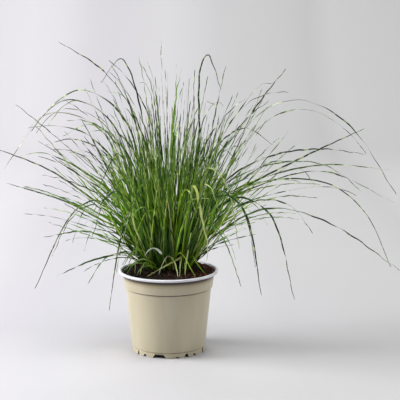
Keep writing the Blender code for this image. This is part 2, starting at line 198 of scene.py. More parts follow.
def makeNotchCutter():
    # One block with a narrower top, copied to each notch, and the copies joined
    deselectAll()
    bpy.ops.mesh.primitive_cube_add(size=1, location=(0, 0, 0))
    block = bpy.context.object
    for side, width in ((1, pot["notchTaper"]), (-1, 2 - pot["notchTaper"])):
        setMode("EDIT")
        bpy.ops.mesh.select_mode(type="VERT")
        bpy.ops.mesh.select_all(action="DESELECT")
        setMode("OBJECT")
        for vert in block.data.vertices:
            vert.select = vert.co.z * side > 0
        setMode("EDIT")
        bpy.ops.transform.resize(value=(1, width, 1))
        setMode("OBJECT")
    copies = []
    for heading, width, height in pot["notches"]:
        copy = addObject("notch", block.data.copy())
        turn = Matrix.Rotation(radians(heading), 4, "Z")
        outward = Matrix.Translation((pot["notchRadius"] * mm, 0, 0))
        size = Matrix.Diagonal((pot["notchDepth"] * mm, width * mm, 2 * height * mm, 1))
        copy.data.transform(turn @ outward @ size)
        copies.append(copy)
    bpy.data.objects.remove(block)
    selectOnly(*copies)
    bpy.ops.object.join()
    return copies[0]


def beigePlastic():
    # Injection moulded beige plastic: an even satin wall, faint upright flow marks, and painted shade in the
    # creases and under the lip
    made, tree, shader = newMaterial("moulded polypropylene beige", {"Roughness": 0.3, "IOR": 1.52})
    place = addNode(tree, "TexCoord")["Object"]
    stretched = addNode(tree, "Mapping", {0: place, "Scale": (1, 1, 0.12)})[0]
    flow = addNode(tree, "TexNoise", {0: stretched, "Scale": 1 / (pot["flowSize"] * mm), "Detail": 3})["Fac"]
    marks = addNode(tree, "ValToRGB", {0: flow}, pot["beige"])[0]
    # Painted shade by height: dark lines in the foot and step creases, and a shadow that deepens up under the
    # lip
    top = pot["paintedCreaseShade"][-1][0]
    height = addNode(tree, "SeparateXYZ", {0: place})["Z"]
    share = addNode(tree, "MapRange", {"Value": height, "From Max": top * mm})[0]
    paintedShade = addNode(tree, "ValToRGB", {0: share}, [(rise / top, code) for rise, code in pot["paintedCreaseShade"]])[0]
    # A mix of colours takes them in sockets 6 and 7 and gives its own out at 2
    wall = addNode(tree, "Mix", {0: 1, 6: marks, 7: paintedShade}, data_type="RGBA", blend_type="MULTIPLY")[2]
    grain = addNode(tree, "TexNoise", {0: place, "Scale": 1 / (pot["grainSize"] * mm), "Detail": 2})["Fac"]
    relief = addNode(tree, "Bump", {"Height": grain, "Strength": 0.12, "Distance": 0.05 * mm})[0]
    setSockets(tree, shader, {"Base Color": wall, "Normal": relief})
    return made


def whitePlastic():
    # The white inner shot of the same moulding: brighter and a little duller, scuffed on the lip
    made, tree, shader = newMaterial("moulded polypropylene white", {"Roughness": 0.34, "IOR": 1.49})
    place = addNode(tree, "TexCoord")["Object"]
    scuffs = addNode(tree, "TexNoise", {0: place, "Scale": 1 / (pot["scuffSize"] * mm), "Detail": 4})["Fac"]
    setSockets(tree, shader, {"Base Color": addNode(tree, "ValToRGB", {0: scuffs}, pot["white"])[0]})
    return made


def makePot():
    piece = drawRings("grow_pot", pot["sides"], pot["rings"])
    cutter = makeNotchCutter()
    cut = piece.modifiers.new("notches", "BOOLEAN")
    cut.object = cutter
    cut.operation = "DIFFERENCE"
    cut.solver = "EXACT"
    selectOnly(piece)
    bpy.ops.object.modifier_apply(modifier=cut.name)
    bpy.data.objects.remove(cutter)
    piece.data.materials.clear()
    piece.data.materials.append(beigePlastic())
    piece.data.materials.append(whitePlastic())
    for face in piece.data.polygons:
        outward = face.normal.xy.dot(face.center.xy.normalized())
        height = face.center.z / mm
        isInside = (outward < -0.3 or face.normal.z > 0.9) and height > pot["floorAbove"]
        face.material_index = int(height > pot["whiteAbove"] or isInside)
    smoothByAngle(piece, 35)
    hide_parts("pot")
    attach(piece, "root")
    print("pot", len(piece.data.polygons), "faces")


# The soil, in mm: a plug with a crumbly mound

soil = {
    "sides": 150,
    "plug": [(6, 4.9), (46.2, 4.9), (54.3, 84.4), (56, 86.2), (58, 102.6)],
    "edgeRadius": 59.9835,
    "edgeHeight": 105.2,
    "topHeight": 110,
    "moundCurve": 2.5,
    "moundRings": 40,
    # Soft lumps by size and rise, and the grains that stand up from them
    "lumps": [(9, 0.9), (3.2, 0.5)],
    "grain": {"size": 3, "share": 0.55, "rise": 2.2, "sink": 0.3},
    # Loose crumbs of peat and chips of bark
    "loose": [
        {"count": 1100, "size": (0.9, 3.2), "flat": (0.6, 1), "paler": 0},
        {"count": 90, "size": (2.8, 5), "flat": (0.35, 0.5), "paler": 0.12},
    ],
    "knobs": 0.22,
    "tilt": 0.6,
    "seed": 4,
    "colours": [(0.2, "0B0705"), (0.45, "1E130D"), (0.7, "40261B"), (0.95, "6B3F2C"), (1, "8E5B43")],
    "speckSize": 1.6,
    "gritSize": 0.7,
}


def moundHeight(radius):
    # The smooth mound, in metres at a radius in metres
    share = min(1, radius / (soil["edgeRadius"] * mm))
    fall = (soil["topHeight"] - soil["edgeHeight"]) * share ** soil["moundCurve"]
    return (soil["topHeight"] - fall) * mm


def crumble(place):
    # How far the surface stands off the smooth mound
    lumps = sum(noise.noise(place / (size * mm)) * rise for size, rise in soil["lumps"])
    grain = soil["grain"]
    cell = noise.voronoi(place / (grain["size"] * mm))[0][0]
    return (lumps + max(0, grain["share"] - cell) * grain["rise"] - grain["sink"]) * mm


def pottingSoil():
    # Peat with bark and coir: near black and dull, with red-brown fibres and crumbs
    dull = {"Roughness": 0.93, "IOR": 1.4, "Specular IOR Level": 0.25}
    made, tree, shader = newMaterial("potting soil of peat and bark", dull)
    place = addNode(tree, "TexCoord")["Object"]
    tone = addNode(tree, "Attribute", attribute_name="tone")["Fac"]
    specks = addNode(tree, "TexNoise", {0: place, "Scale": 1 / (soil["speckSize"] * mm), "Detail": 4})["Fac"]
    specks = addNode(tree, "Math", {0: specks, 1: 0.55}, operation="MULTIPLY")[0]
    tone = addNode(tree, "Math", {0: specks, 1: tone}, operation="ADD")[0]
    colour = addNode(tree, "ValToRGB", {0: tone}, soil["colours"])[0]
    grit = addNode(tree, "TexNoise", {0: place, "Scale": 1 / (soil["gritSize"] * mm), "Detail": 5})["Fac"]
    relief = addNode(tree, "Bump", {"Height": grit, "Strength": 0.8, "Distance": 0.3 * mm})[0]
    setSockets(tree, shader, {"Base Color": colour, "Normal": relief})
    return made


def crumbArrays(draw):
    # Every crumb and bark chip as one set of arrays, from a single 20-sided crumb
    deselectAll()
    bpy.ops.mesh.primitive_ico_sphere_add(subdivisions=1, radius=1, location=(0, 0, 0))
    seed = bpy.context.object
    form = np.array([tuple(vert.co) for vert in seed.data.vertices])
    sides = np.array([tuple(face.vertices) for face in seed.data.polygons])
    bpy.data.objects.remove(seed)
    verts, faces, tones = [], [], []
    for k, kind in enumerate([kind for kind in soil["loose"] for _ in range(kind["count"])]):
        size = draw.uniform(*kind["size"]) * mm / 2
        radius = sqrt(draw.random()) * (soil["edgeRadius"] - 0.7) * mm
        heading = draw.uniform(0, 2 * pi)
        place = Vector((radius * cos(heading), radius * sin(heading), moundHeight(radius)))
        place.z += crumble(place) + size * 0.25
        flat = draw.uniform(*kind["flat"])
        turn = Matrix.Rotation(draw.uniform(0, fullTurn), 3, "Z")
        turn = turn @ Matrix.Rotation(draw.uniform(-1, 1) * soil["tilt"], 3, "X")
        stretch = np.array([draw.uniform(0.8, 1.4), draw.uniform(0.6, 1), flat]) * size
        knobs = 1 + soil["knobs"] * np.array([draw.uniform(-1, 1) for _ in form])
        faces.append(sides + len(form) * k)
        verts.append((form * knobs[:, None] * stretch) @ np.array(turn).T + np.array(place))
        # Drier and redder toward the wall and on the right, damp and near black under the crown
        dry = 0.26 * (1 + cos(heading)) * radius / (50 * mm) - 0.3
        tones += [draw.uniform(0.05, 0.6) + dry + kind["paler"]] * len(form)
    return np.concatenate(verts), np.concatenate(faces), tones


def makeSoil():
    draw = random.Random(soil["seed"])
    edge = soil["edgeRadius"]
    rings = [*soil["plug"], (edge + 0.4, soil["edgeHeight"])]
    for k in range(1, soil["moundRings"]):
        radius = edge * (1 - k / soil["moundRings"])
        rings.append((radius, moundHeight(radius * mm) / mm))
    piece = drawRings("potting_soil", soil["sides"], rings)
    for vert in piece.data.vertices:
        if vert.co.z > 100 * mm:
            isOpen = vert.co.xy.length / mm < edge - 0.5
            vert.co.z += crumble(vert.co) * (1 if isOpen else 0.3)
    verts, faces, tones = crumbArrays(draw)
    crumbs = bpy.data.meshes.new("crumbs")
    crumbs.from_pydata(verts.tolist(), [], faces.tolist())
    loose = addObject("crumbs", crumbs)
    plain = [0.1 + 0.12 * noise.noise(vert.co / (5 * mm)) for vert in piece.data.vertices]
    for thing, values in ((piece, plain), (loose, tones)):
        thing.data.attributes.new("tone", "FLOAT", "POINT").data.foreach_set("value", values)
    selectOnly(piece, loose)
    bpy.ops.object.join()
    piece.data.materials.clear()
    piece.data.materials.append(pottingSoil())
    smoothByAngle(piece, 50)
    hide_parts("soil")
    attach(piece, "root")
    print("soil", len(piece.data.polygons), "faces")


# The shoots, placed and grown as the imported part's own, in metres

crown = {
    "radius": 30 * mm,
    "spacing": 6.4 * mm,
    "rounds": 60,
    "lift": 0.3 * mm,
    "sheath": 9 * mm,
    "bladeWidth": 2.8 * mm,
    "rootWidth": 1.8 * mm,
    "widestShare": 0.35,
    "segments": (8, 6, 6),
    "postCurve": 1.2,
    "rootSlope": 0.4,
    "middleTops": (200 * mm, 285 * mm),
    "middleShift": (1.2 * mm, 2.4 * mm),
    "middleAside": 1.3,
    "middleSpread": 1.125,
    "sideTops": (140 * mm, 250 * mm),
    "sideAside": (4.5 * mm, 8 * mm),
    "sideOutward": (-3 * mm, 6 * mm),
    "sideSpread": 1.5,
    "edgeShorter": 0.35,
    "fanRise": 100 * mm,
    "fanCurve": 0.85,
    "youngKnots": (0.3, 0.65, 1),
    "spare": 0.4 * mm,
    "lipTop": 107 * mm,
    "lipRadius": 63 * mm,
    "lipHalf": 2 * mm,
    "turnStep": 1.2,
    "tries": 51,
    "siblingStart": 11,
    "pathSpacing": 2 * mm,
    "seed": 23,
    # The long leaf of each shoot: heading, then reach from the axis and height, in mm
    "longLeaves": [
        # The left side, from high to low
        (172, (24, 249), (46, 314), (84, 366), (140, 402)),
        (190, (26, 262), (44, 352), (60, 381), (86, 350)),
        (165, (46, 276), (76, 322), (122, 338), (172, 302), (228, 228)),
        (186, (70, 266), (92, 299), (116, 320), (138, 334)),
        (205, (66, 240), (108, 288), (150, 302), (188, 302)),
        (176, (62, 205), (98, 238), (150, 284), (196, 322)),
        (196, (60, 196), (104, 236), (160, 266), (196, 262)),
        (158, (56, 216), (92, 258), (136, 272), (178, 262)),
        (184, (52, 170), (92, 198), (152, 240), (224, 270)),
        (170, (46, 148), (90, 170), (140, 194), (216, 216)),
        (201, (56, 164), (96, 204), (132, 186), (180, 96)),
        (152, (60, 186), (104, 204), (132, 168), (146, 128)),
        (216, (50, 190), (84, 218), (108, 196), (128, 146)),
        (190, (44, 134), (78, 152), (112, 162), (162, 155)),
        (178, (46, 122), (70, 125), (104, 117), (148, 96)),
        (209, (46, 131), (64, 137), (92, 132), (116, 100)),
        (237, (54, 226), (82, 206), (110, 160), (134, 80)),
        (168, (40, 288), (50, 322), (60, 348), (74, 372)),
        # The right side
        (24, (43, 262), (44, 345), (48, 374), (57, 384), (64, 372), (76, 338)),
        (342, (62, 262), (98, 322), (122, 350), (138, 352)),
        (12, (70, 252), (104, 298), (134, 338), (158, 366)),
        (8, (84, 262), (128, 314), (182, 324), (246, 286), (308, 196)),
        (350, (50, 170), (92, 212), (170, 256), (250, 296)),
        (18, (76, 214), (140, 248), (212, 256), (282, 246)),
        (355, (66, 196), (120, 228), (200, 246), (286, 240)),
        (5, (58, 180), (120, 216), (206, 232), (302, 188)),
        (336, (60, 190), (128, 230), (212, 234), (262, 200), (296, 134)),
        (358, (50, 144), (128, 188), (210, 168), (302, 106)),
        (14, (56, 152), (110, 184), (160, 196), (206, 192)),
        (344, (52, 174), (98, 208), (142, 184), (172, 80)),
        (322, (50, 180), (92, 214), (124, 190), (146, 92)),
        (30, (48, 172), (84, 202), (118, 172), (136, 92)),
        (312, (44, 150), (72, 176), (102, 162), (134, 106)),
        (2, (50, 131), (76, 143), (116, 153)),
        (28, (64, 186), (112, 216), (164, 238), (206, 224), (228, 200)),
        (352, (66, 176), (118, 200), (158, 194), (188, 158)),
        (346, (52, 236), (84, 284), (108, 312), (132, 330)),
        # The middle, the back and the front
        (100, (14, 240), (26, 318), (38, 364), (60, 404)),
        (112, (20, 240), (36, 308), (54, 348), (78, 372)),
        (250, (18, 240), (30, 300), (44, 336), (66, 362)),
        (70, (16, 232), (28, 300), (40, 342), (56, 366)),
        (286, (14, 230), (26, 290), (42, 330), (70, 356)),
        (60, (40, 244), (66, 296), (92, 318), (124, 312)),
        (128, (36, 240), (64, 296), (98, 326), (140, 330)),
        (142, (44, 216), (86, 270), (134, 288), (186, 268)),
        (44, (46, 208), (96, 262), (148, 280), (202, 252)),
        (84, (40, 206), (80, 262), (126, 282), (176, 262)),
        (106, (48, 188), (92, 228), (142, 236), (190, 200)),
        (58, (50, 172), (98, 208), (146, 202), (186, 150)),
        (132, (48, 164), (94, 196), (140, 186), (176, 140)),
        (232, (42, 224), (78, 278), (112, 300), (150, 300)),
        (302, (40, 220), (76, 270), (112, 286), (150, 270)),
        (264, (38, 206), (72, 256), (108, 270), (148, 246)),
        (284, (46, 186), (82, 222), (116, 226), (150, 196)),
        (248, (44, 170), (76, 200), (108, 202), (136, 178)),
        (318, (42, 232), (70, 286), (98, 318), (126, 338)),
    ],
}


def headingOf(degrees):
    return Vector((cos(radians(degrees)), sin(radians(degrees)), 0))


def leanOf(route):
    # How far the start of a leaf leans out, from 0 for upright
    reach, height = route[0]
    return atan2(reach * mm, (height - soil["topHeight"]) * mm)


def pushApart(spots):
    # Shoots that stand too close move each other away, and none leaves the crown
    for i, first in enumerate(spots):
        for second in spots[i + 1:]:
            between = second - first
            gap = crown["spacing"] - between.length
            if gap > 0:
                shift = between.normalized() * gap / 2
                first -= shift
                second += shift
    for spot in spots:
        spot *= min(1, crown["radius"] / max(spot.length, mm))


def placeShoots():
    # The flattest leaves start at the crown's edge, on their own side
    leaves = crown["longLeaves"]
    count = len(leaves)
    order = sorted(range(count), key=lambda i: leanOf(leaves[i][1:]))
    spots = [None] * count
    for rank, i in enumerate(order):
        spots[i] = headingOf(leaves[i][0]) * crown["radius"] * sqrt((rank + 0.5) / count)
    for _ in range(crown["rounds"]):
        pushApart(spots)
    return order[::-1], spots


def longKnots(spot, azimuth, route):
    out = headingOf(azimuth)
    side = spot - out * spot.dot(out)
    knots = []
    for step, (reach, height) in enumerate(route):
        stray = side * (1 - (step + 1) / len(route))
        knots.append(out * reach * mm + stray + Vector((0, 0, height * mm)))
    return knots


def youngKnots(spot, shift, turn, top, fan):
    # A younger leaf spreads from the axis as the whole clump does
    seat = spot + shift
    knots = []
    for share in crown["youngKnots"]:
        rise = top * share
        spread = 1 + fan * (rise / crown["fanRise"]) ** crown["fanCurve"]
        swing = Matrix.Rotation(radians(turn * share), 3, "Z")
        knots.append(swing @ (seat * spread) + Vector((0, 0, soil["topHeight"] * mm + rise)))
    return knots


def splinePoint(before, start, end, after, share):
    # A Catmull-Rom spline whose tangents are scaled to the length of this stretch
    length = (end - start).length
    leave = (end - before) * length / ((start - before).length + length)
    reach = (after - start) * length / ((after - end).length + length)
    a = 2 * share**3 - 3 * share**2 + 1
    b = share**3 - 2 * share**2 + share
    c = share**3 - share**2
    return a * start + b * leave + (1 - a) * end + c * reach


def leafPath(base, knots):
    # A smooth curve from the shoot's place through the knots
    knots = [base, *knots, 2 * knots[-1] - knots[-2]]
    rise = knots[1] - knots[0]
    slope = crown["rootSlope"]
    knots.insert(0, knots[0] - Vector((rise.x * slope, rise.y * slope, rise.z)))
    path = [knots[1]]
    for before, start, end, after in zip(knots, knots[1:], knots[2:], knots[3:]):
        count = max(2, round((end - start).length / crown["pathSpacing"]))
        for k in range(1, count + 1):
            path.append(splinePoint(before, start, end, after, k / count))
    return path


def solidWidth(share):
    foot = crown["rootWidth"]
    widening = foot + (crown["bladeWidth"] - foot) * min(1, share / crown["widestShare"])
    return widening * (1 - share**2.4) ** 0.8


def solidPoints(path, segments):
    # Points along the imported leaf's straight stretches, with its width there
    last = len(path) - 1
    start = crown["sheath"] / (crown["pathSpacing"] * last)
    posts = [(0, path[0])]
    for step in range(1, segments + 1):
        share = start + (1 - start) * (step / segments) ** crown["postCurve"]
        posts.append((share, path[round(share * last)]))
    points = []
    for (share, here), (nextShare, there) in zip(posts, posts[1:]):
        count = max(1, round((there - here).length / crown["pathSpacing"]))
        for k in range(count):
            width = solidWidth(share + (nextShare - share) * k / count)
            points.append((here.lerp(there, k / count), width))
    return points


def roomFor(points, tree, widths, start=0):
    # The least clear distance to the leaves already placed, and to the pot's lip
    least = 1.0
    for point, width in points[start:]:
        _, index, distance = tree.find(point)
        if index is not None:
            least = min(least, distance - 0.5 * (width + widths[index]) - crown["spare"])
        if point.z < crown["lipTop"] + crown["bladeWidth"]:
            offLip = abs(point.xy.length - crown["lipRadius"]) - crown["lipHalf"]
            least = min(least, offLip - crown["bladeWidth"])
    return least


def treeOf(points):
    tree = kdtree.KDTree(len(points))
    for index, (point, _) in enumerate(points):
        tree.insert(point, index)
    tree.balance()
    return tree, [width for _, width in points]


def fitted(base, choices, segments, others, own):
    # The first choice that clears the leaves before it, or else the roomiest
    best = None
    for knots in choices:
        path = leafPath(base, knots)
        points = solidPoints(path, segments)
        room = min(roomFor(points, *others), roomFor(points, *own, start=crown["siblingStart"]))
        if best is None or room > best[0]:
            best = (room, path, points)
        if room > 0:
            break
    return best[1:]


def leafChoices(kind, spot, azimuth, route, draw):
    # One leaf in the ways it may stand, from the wanted one to those turned further away
    out = headingOf(azimuth)
    across = headingOf(azimuth + 90)
    across *= 1 if spot.dot(across) < 0 else -1
    ripe = 1 - crown["edgeShorter"] * spot.length / crown["radius"]
    for k in range(crown["tries"]):
        turn = crown["turnStep"] * ((k + 1) // 2) * (-1) ** k
        if kind == "long":
            yield longKnots(spot, azimuth + turn, route)
            continue
        if kind == "middle":
            shift = (across * -crown["middleAside"] - out) * draw.uniform(*crown["middleShift"])
        else:
            shift = across * -draw.uniform(*crown["sideAside"]) + out * draw.uniform(*crown["sideOutward"])
        top = ripe * draw.uniform(*crown[kind + "Tops"])
        yield youngKnots(spot, shift, turn, top, crown[kind + "Spread"])


def growShoots():
    # The middle line of every leaf: the long ones first, then the younger between them
    draw = random.Random(crown["seed"])
    order, spots = placeShoots()
    shoots = [[] for _ in order]
    for kind, segments in zip(("long", "middle", "side"), crown["segments"]):
        for i in order:
            azimuth, *route = crown["longLeaves"][i]
            spot = spots[i]
            base = spot + Vector((0, 0, moundHeight(spot.length) + crown["lift"]))
            own = [point for _, points in shoots[i] for point in points]
            others = [point for j in order if j != i for _, points in shoots[j] for point in points]
            choices = leafChoices(kind, spot, azimuth, route, draw)
            shoots[i].append(fitted(base, choices, segments, treeOf(others), treeOf(own)))
    return [(crown["longLeaves"][i][0], [path for path, _ in shoots[i]]) for i in order]


# The fine leaves, in mm and degrees: each shoot's own three and the neighbours beside them

grass = {
    "seed": 11,
    # What most neighbours share
    "plain": {"width": 1.9, "face": 0.3, "wave": 1.5, "loose": 0.8, "taper": 4},
    # The neighbours of a shoot's long, middle and side leaf, and their share of its length
    "kinds": [
        {"kin": 3, "turn": 18, "lean": 10, "share": (0.4, 0.85), "twist": 16},
        {"kin": 2, "turn": 22, "lean": 11, "share": (0.8, 1), "twist": 12},
        {"kin": 3, "turn": 24, "lean": 12, "share": (0.7, 1), "twist": 12},
    ],
    # A shoot's own leaves
    "own": [{"width": 2.6, "twist": 12, "face": 0.5, "wave": 1.5}, {"width": 2.3}, {"width": 2.1}],
    "ownPlain": {"twist": 14, "face": 0.3, "wave": 1.2, "loose": 0.7, "taper": 3.5},
    # Neighbours of a long leaf whose tip is lower than that
    "lowKin": 1,
    "lowBelow": 160,
    # Leaves whose tips are further out and lower than this keep that share of their tone
    "outer": (80, 190, 0.4),
    # Straighter leaves that fill the fan: the outermost shoot's lean at its foot, and the bend to the tip
    "fan": {"kin": 3, "twist": 12, "turn": 36, "foot": 24, "spread": 10, "bend": (4, 42),
            "length": (160, 320), "flatShorter": 0.55},
    # More neighbours of the high long leaves between these headings, where the clump is fullest
    "more": {"kin": 2, "width": 2.3, "turn": 14, "lean": 9, "share": (0.6, 0.92), "twist": 10, "face": 0.5,
             "wave": 1.2, "loose": 0.6, "taper": 4, "headings": (148, 212), "above": 185},
    # Long leaves that stand out, by heading: tone, how patchy with painted shade and glints, the share that
    # stays slim, and width
    "stout": {"twist": 0.6, "face": 1.35, "wave": 0.25, "loose": 0.2, "taper": 5},
    "stoutLeaves": {
        24: (0.05, 0.7, 0, 2.5), 322: (0.05, 0.8, 0, 2.5), 350: (0.1, 0.9, 0, 2.4), 184: (0.15, 0.9, 0, 2.3),
        170: (0.15, 0.9, 0, 2.3), 237: (0.3, 0.9, 0.2, 2.3), 172: (0.05, 1, 0.8, 3),
        176: (0.05, 0.8, 0.8, 2.4), 12: (0.05, 0.8, 0.76, 2.5), 201: (0.1, 0.9, 0.45, 1.7),
        336: (0.1, 0.9, 0.45, 1.7), 312: (0.1, 0.9, 0.45, 1.6),
    },
    "slim": 0.35,
    "single": {"twist": 0.8, "face": 1.3, "wave": 0.25, "loose": 0.2, "taper": 4},
    "bleachedFace": 1.15,
    # The folded ribbon: its foot is a share of its width, and it is widest from a share of its length on
    "ringStep": 3.1,
    "footWidth": 0.72,
    "widestShare": 0.18,
    "thick": 0.32,
    "fold": 0.6,
    "tipWidth": 0.8,
    "wander": 2.6,
    "wanderWaves": (0.6, 1.5),
    "kinks": 0.6,
    "kinkWaves": (9, 16),
    "twistWaves": (1.5, 4),
    "rootSpread": 3.4,
    "shootTones": (0.04, 0.52),
    "limeShare": 0.08,
    "limeTones": (0.8, 0.93),
    "strawShare": 0.006,
    "tones": [(0, "2A5812"), (0.3, "76AE14"), (0.55, "A8D22E"), (0.75, "C6E060"), (0.9, "D8E48A"),
              (1, "DCCB8C")],
    "veinSpacing": 0.45,
    # Between these lengths a leaf turns patchy, with painted shade in dark patches and painted glints in pale
    # patches of that size
    "tip": [(0.45, "0C1408"), (0.51, "28381A"), (0.62, "AEBE88")],
    "patch": 10,
    "glintAndShadeFrom": {"From Min": 75, "From Max": 185},
    # Painted shade at the crowded foot of the leaves: its colour, and the lengths over which it fades
    "root": "163006",
    "paintedFootShadeEnd": {"From Min": 15, "From Max": 100, "To Min": 1, "To Max": 0},
    # The pale end: partly a bleached leaf's own colour, partly a painted highlight
    "bleachAndHighlight": "EEF2E6",
    "bleachFrom": {"From Min": 0.25, "From Max": 0.55},
    # Single leaves: tone, how pale at the end (partly bleach, partly a painted highlight), width, the share
    # that stays slim, and their points
    "accents": [
        # Over the soil
        (0.9, 0, 2.6, 0, (30, -18, 136), (16, -30, 129), (-7, -42, 119), (-29, -53, 109)),
        (0.95, 0.5, 1.4, 0, (6, -26, 112), (4, -31, 128), (-1, -35, 132), (-6, -39, 126), (-10, -46, 118),
         (-13, -50, 110)),
        (0.5, 1, 4.6, 0.5, (1, -18, 111), (-3, -28, 122), (-7, -35, 132), (-12, -40, 140), (-17, -43, 144),
         (-22, -45, 144), (-27, -47, 140), (-31, -48, 134)),
        (0.5, 0.15, 2.3, 0.4, (-20, -20, 112), (-35, -20, 160), (-41, -30, 142), (-42, -36, 125),
         (-43, -38, 109)),
        (0.4, 0.1, 2.3, 0.4, (-24, -8, 112), (-37, -10, 166), (-43, -16, 143), (-49, -20, 124),
         (-54, -20, 109)),
        (0.5, 0.15, 1.8, 0, (-20, -24, 112), (-29, -30, 123), (-35, -36, 115), (-36, -40, 109)),
        (0.45, 0.2, 2.2, 0, (-14, -16, 111), (-21, -26, 122), (-34, -34, 128), (-48, -36, 121),
         (-58, -34, 112)),
        (0.4, 0.1, 1.8, 0, (-14, -20, 111), (-24, -30, 119), (-39, -38, 124), (-49, -42, 118),
         (-53, -44, 110)),
        (0.35, 0.1, 2, 0, (-14, -12, 111), (-26, -20, 131), (-39, -26, 139), (-50, -30, 131),
         (-60, -26, 112)),
        (0.55, 0.25, 2, 0, (-12, -20, 111), (-19, -28, 117), (-30, -40, 120), (-37, -46, 116),
         (-41, -50, 109)),
        (0.4, 0.1, 1.8, 0, (-14, -6, 111), (-27, -10, 124), (-38, -12, 134), (-50, -14, 130),
         (-61, -12, 114)),
        (0.8, 0.1, 2, 0.45, (20, -22, 112), (29, -30, 162), (27, -38, 153), (24, -44, 134), (21, -50, 112)),
        (0.86, 0, 3.4, 0.48, (18, -20, 112), (28, -30, 184), (30, -46, 224), (34, -52, 223), (38, -58, 207),
         (43, -62, 180), (49, -64, 152), (48, -64, 130)),
        (0.6, 0, 1.7, 0, (6, -22, 120), (14, -34, 136), (21, -40, 131), (27, -45, 120), (34, -47, 108)),
        (0.8, 0.15, 1.7, 0, (4, -24, 130), (9, -42, 122), (12, -52, 108)),
        (0.85, 0.2, 1.4, 0, (18, -24, 134), (15, -42, 122), (14, -52, 108)),
        (0.4, 0, 1.8, 0, (24, -24, 134), (21, -42, 122), (21, -51, 108)),
        (0.35, 0, 2, 0, (26, -24, 126), (31, -30, 131), (35, -36, 124), (41, -38, 116), (47, -38, 109)),
        # Before the clump
        (0.25, 0, 2.2, 0.45, (-20, -12, 111), (-26, -20, 150), (-53, -40, 232), (-63, -50, 229),
         (-72, -56, 221), (-82, -60, 206), (-87, -62, 188), (-95, -64, 162)),
        (0.2, 0, 2.2, 0.5, (-20, -14, 111), (-29, -30, 144), (-50, -40, 246), (-63, -50, 266),
         (-72, -56, 254), (-81, -60, 235), (-88, -62, 222)),
        (1, 0, 2.2, 0.3, (8, -24, 112), (5, -30, 152), (2, -38, 187), (-2, -44, 212), (-4, -46, 229)),
        (0.8, 0.15, 2.2, 0.3, (-20, -22, 112), (-32, -30, 144), (-43, -44, 174), (-45, -50, 201),
         (-44, -52, 226), (-43, -50, 250)),
        (0.85, 0.1, 1.8, 0.55, (14, -22, 112), (20, -30, 185), (22, -40, 200), (27, -44, 205), (34, -48, 208),
         (44, -50, 209), (54, -52, 208)),
        (0.62, 0, 2, 0.45, (-8, -18, 112), (-11, -20, 165), (-16, -36, 189), (-20, -44, 193), (-26, -50, 192),
         (-31, -52, 187), (-36, -54, 176), (-41, -54, 161), (-39, -50, 145)),
        (0.8, 0.15, 2.1, 0.6, (22, -20, 112), (40, -30, 197), (46, -44, 226), (51, -50, 225), (55, -54, 220),
         (58, -56, 211), (63, -56, 195)),
        (0.8, 0.2, 2.5, 0.4, (18, -14, 112), (36, -20, 184), (42, -30, 224), (48, -36, 245), (53, -40, 246),
         (59, -44, 244), (65, -46, 238), (70, -48, 231), (77, -50, 216), (81, -50, 197), (84, -50, 177),
         (90, -50, 142)),
        (0.5, 0.25, 2.2, 0.3, (22, -20, 112), (37, -30, 157), (43, -40, 187), (46, -44, 218), (47, -44, 245)),
        (0.6, 0.1, 2.2, 0, (26, -20, 112), (44, -30, 141), (49, -36, 163), (52, -40, 182), (53, -40, 200)),
        # The dark ones that stand out at the top
        (0.32, 0, 3.6, 0, (3, 0, 111), (4, 0, 200), (5, 0, 277), (8, 0, 315), (11, 0, 333), (11, 0, 350)),
        (0.15, 0, 2.4, 0, (-6, 6, 111), (-12, 10, 250), (-16, 10, 315), (-22, 10, 349), (-33, 10, 372)),
        (0.15, 0, 2.6, 0, (-10, 6, 111), (-26, 10, 230), (-39, 10, 288), (-47, 10, 318), (-64, 10, 356)),
        (0.1, 0, 2.2, 0, (-6, -6, 111), (-14, -10, 260), (-20, -10, 329), (-24, -10, 342), (-30, -10, 351),
         (-37, -10, 350)),
        (0.15, 0, 2.1, 0, (16, -10, 111), (34, -20, 250), (44, -20, 301), (50, -20, 314), (58, -20, 325),
         (65, -20, 327), (71, -20, 321)),
    ],
}


def insidePart(path):
    # The leaf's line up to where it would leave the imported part's box
    for k, point in enumerate(path):
        if any(not low < value < high for low, value, high in zip(cadLow, point, cadHigh)):
            return path[:k]
    return path


def strayFoot(base, draw):
    spread = grass["rootSpread"] * mm
    return base + Vector((draw.uniform(-spread, spread), draw.uniform(-spread, spread), 0))


def kinPath(path, kind, draw):
    # A neighbour of a leaf: the same line a little turned, shortened and moved at its foot
    count = max(8, round(len(path) * draw.uniform(*kind["share"])))
    base = path[0]
    foot = strayFoot(base, draw)
    swing = Matrix.Rotation(radians(draw.uniform(-1, 1) * kind["turn"]), 3, "Z")
    outward = path[-1].xy - base.xy
    hinge = Vector((-outward.y, outward.x, 0)).normalized()
    swing = swing @ Matrix.Rotation(radians(draw.uniform(-1, 1) * kind["lean"]), 3, hinge)
    wide = draw.uniform(0.86, 1.1)
    droop = draw.uniform(0, 0.1) * (path[min(count, len(path)) - 1] - base).length
    made = []
    for k, point in enumerate(path[:count]):
        off = swing @ (point - base)
        made.append(foot + Vector((off.x * wide, off.y * wide, off.z - droop * (k / count) ** 3)))
    return insidePart(made)


